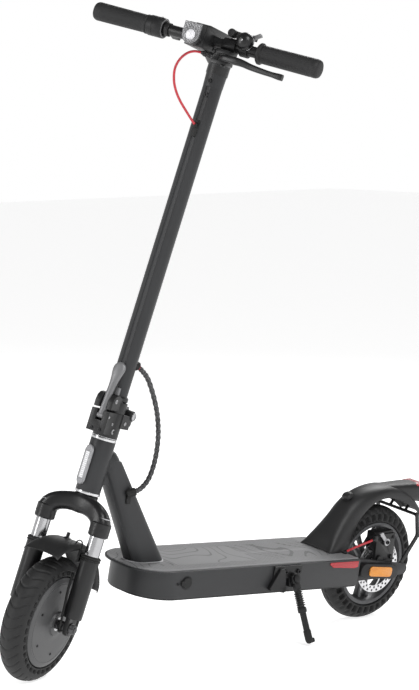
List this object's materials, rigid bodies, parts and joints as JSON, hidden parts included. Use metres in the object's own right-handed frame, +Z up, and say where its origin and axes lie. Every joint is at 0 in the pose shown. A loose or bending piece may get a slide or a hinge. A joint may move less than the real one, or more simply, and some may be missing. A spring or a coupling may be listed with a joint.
{
  "type": "electric kick scooter",
  "caption": "Folding electric kick scooter on its side stand: sprung front fork, hub motor wheel, disc-braked rear wheel, ribbed deck and tall folding stem with bars turned left.",
  "frame": {"origin": "middle of the whole scooter's footprint box, on the ground, as it leans on its side stand", "axes": "+X towards the front wheel, +Y to the rider's left, +Z up"},
  "size_m": [1.1752, 0.5236, 1.3215],
  "materials": {
    "painted_frame": "satin, fine powder coat",
    "deck_rubber": "matte, ribbed",
    "black_plastic": "fine grain",
    "gloss_black": "polished",
    "battery_wrap": "smooth",
    "cast_metal": "satin",
    "rim_grey": "satin, cast",
    "hub_grey": "satin",
    "steel": "fine brushed",
    "chrome_tube": "mirror",
    "grey_metal": "satin",
    "tyre_rubber": "matte, patterned",
    "grip_rubber": "fine ribs",
    "cable_black": "spiral wrapped",
    "cable_red": "smooth",
    "orange_reflector": "prismatic",
    "white_reflector": "prismatic",
    "red_lens": "clear ribbed",
    "lamp_silver": "satin silver",
    "lamp_lens": "clear",
    "copper_stator": "wound copper on steel",
    "pad_brown": "coarse"
  },
  "bodies": {
    "frame": {"deck_shell": "painted_frame", "deck_mat": "deck_rubber", "bottom_cover": "black_plastic", "battery_pack": "battery_wrap", "motor_controller": "grey_metal", "down_tube": "painted_frame", "head_tube": "painted_frame", "headset_bearings": "steel", "front_reflector": "white_reflector", "rear_arms": "painted_frame", "arm_caps": "black_plastic", "side_reflectors": "orange_reflector", "rear_fender": "black_plastic", "tail_light": "red_lens", "fender_stay": "cast_metal", "caliper_body": "cast_metal", "brake_pads": "pad_brown", "rear_brake_cable": "cable_red", "rear_axle": "steel", "stand_bracket": "cast_metal"},
    "charge_port_cap": {"charge_cap": "black_plastic"},
    "caliper_lever": {"caliper_arm": "grey_metal"},
    "rear_wheel": {"rear_tyre": "tyre_rubber", "rear_rim": "rim_grey", "brake_rotor": "steel", "rear_bearings": "steel"},
    "kickstand": {"stand_leg": "cast_metal", "stand_foot": "grip_rubber", "stand_spring": "steel"},
    "steerer": {"steerer_tube": "steel", "fork_crown": "cast_metal", "stanchions": "chrome_tube", "fold_base": "cast_metal", "fold_pins": "steel", "wiring_loop": "cable_black"},
    "fork_lower": {"fork_lowers": "painted_frame", "front_fender": "black_plastic", "front_axle": "steel", "motor_stator": "copper_stator"},
    "front_wheel": {"front_tyre": "tyre_rubber", "hub_shell": "hub_grey", "hub_bearings": "steel"},
    "folding_lever": {"fold_lever": "grey_metal"},
    "stem": {"stem_collar": "cast_metal", "stem_tube": "painted_frame", "bar_head": "black_plastic", "handlebar": "cast_metal", "grips": "grip_rubber", "headlight": "lamp_silver", "headlight_lens": "lamp_lens", "display_panel": "gloss_black", "bell": "gloss_black", "brake_perch": "cast_metal", "throttle_housing": "black_plastic", "brake_cable": "cable_red"},
    "stem_catch": {"safety_catch": "grey_metal"},
    "front_brake_lever": {"brake_lever": "cast_metal"},
    "thumb_throttle": {"throttle_paddle": "black_plastic"},
    "bell_hammer": {"bell_striker": "steel"},
    "power_key": {"power_button": "gloss_black"}
  },
  "joints": [
    {"name": "steering", "type": "hinge", "parent": "frame", "child": "steerer", "pos_m": [0.35861, -0.12697, 0.41821], "axis": [-0.2723, 0.1406, 0.9519], "range_deg": [-65, 24], "deforming": ["wiring_loop"]},
    {"name": "fork_slide", "type": "slide", "parent": "steerer", "child": "fork_lower", "axis": [-0.2723, 0.1406, 0.9519], "range_m": [0, 0.022], "stiffness_N_per_m": 12000, "springref_m": -0.01},
    {"name": "front_wheel_spin", "type": "hinge", "parent": "fork_lower", "child": "front_wheel", "pos_m": [0.4664, -0.16167, 0.1243], "axis": [-0.3354, 0.9134, -0.2308], "continuous": true},
    {"name": "rear_wheel_spin", "type": "hinge", "parent": "frame", "child": "rear_wheel", "pos_m": [-0.43411, -0.17013, 0.12593], "axis": [0, 0.9893, -0.1461], "continuous": true},
    {"name": "stem_fold", "type": "hinge", "parent": "steerer", "child": "stem", "pos_m": [0.29411, -0.12589, 0.51621], "axis": [0.3354, -0.9134, 0.2308], "range_deg": [0, 93], "deforming": ["wiring_loop"]},
    {"name": "folding_lever_turn", "type": "hinge", "parent": "steerer", "child": "folding_lever", "pos_m": [0.37016, -0.09648, 0.52207], "axis": [-0.3354, 0.9134, -0.2308], "range_deg": [0, 110]},
    {"name": "stem_catch_turn", "type": "hinge", "parent": "stem", "child": "stem_catch", "pos_m": [0.33811, -0.08716, 0.55354], "axis": [-0.3354, 0.9134, -0.2308], "range_deg": [0, 12], "stiffness_Nm_per_rad": 0.05},
    {"name": "front_brake_lever_turn", "type": "hinge", "parent": "stem", "child": "front_brake_lever", "pos_m": [0.20996, 0.08402, 1.20913], "axis": [-0.2723, 0.1406, 0.9519], "range_deg": [0, 12], "stiffness_Nm_per_rad": 2},
    {"name": "caliper_lever_turn", "type": "hinge", "parent": "frame", "child": "caliper_lever", "pos_m": [-0.42811, -0.09692, 0.17678], "axis": [0, 0.9893, -0.1461], "range_deg": [0, 18], "stiffness_Nm_per_rad": 1},
    {"name": "thumb_throttle_turn", "type": "hinge", "parent": "stem", "child": "thumb_throttle", "pos_m": [0.23215, -0.04718, 1.26427], "axis": [0.3354, -0.9134, 0.2308], "range_deg": [0, 40], "stiffness_Nm_per_rad": 0.2},
    {"name": "bell_hammer_turn", "type": "hinge", "parent": "stem", "child": "bell_hammer", "pos_m": [0.16517, 0.1196, 1.24779], "axis": [0.9019, 0.3821, 0.2016], "range_deg": [-12, 12], "stiffness_Nm_per_rad": 0.05},
    {"name": "power_key_press", "type": "slide", "parent": "stem", "child": "power_key", "axis": [0.2723, -0.1406, -0.9519], "range_m": [0, 0.0012], "stiffness_N_per_m": 400},
    {"name": "kickstand_turn", "type": "hinge", "parent": "frame", "child": "kickstand", "pos_m": [-0.1263, -0.07177, 0.13832], "axis": [0, 0.9796, 0.2011], "range_deg": [0, 84]},
    {"name": "charge_port_cap_turn", "type": "hinge", "parent": "frame", "child": "charge_port_cap", "pos_m": [0.18233, -0.07494, 0.16889], "axis": [0.0768, -0.1457, -0.9864], "range_deg": [0, 90]}
  ],
  "couplings": [
    {"joint": "caliper_lever_turn", "follows": "front_brake_lever_turn", "ratio": 1.5}
  ]
}
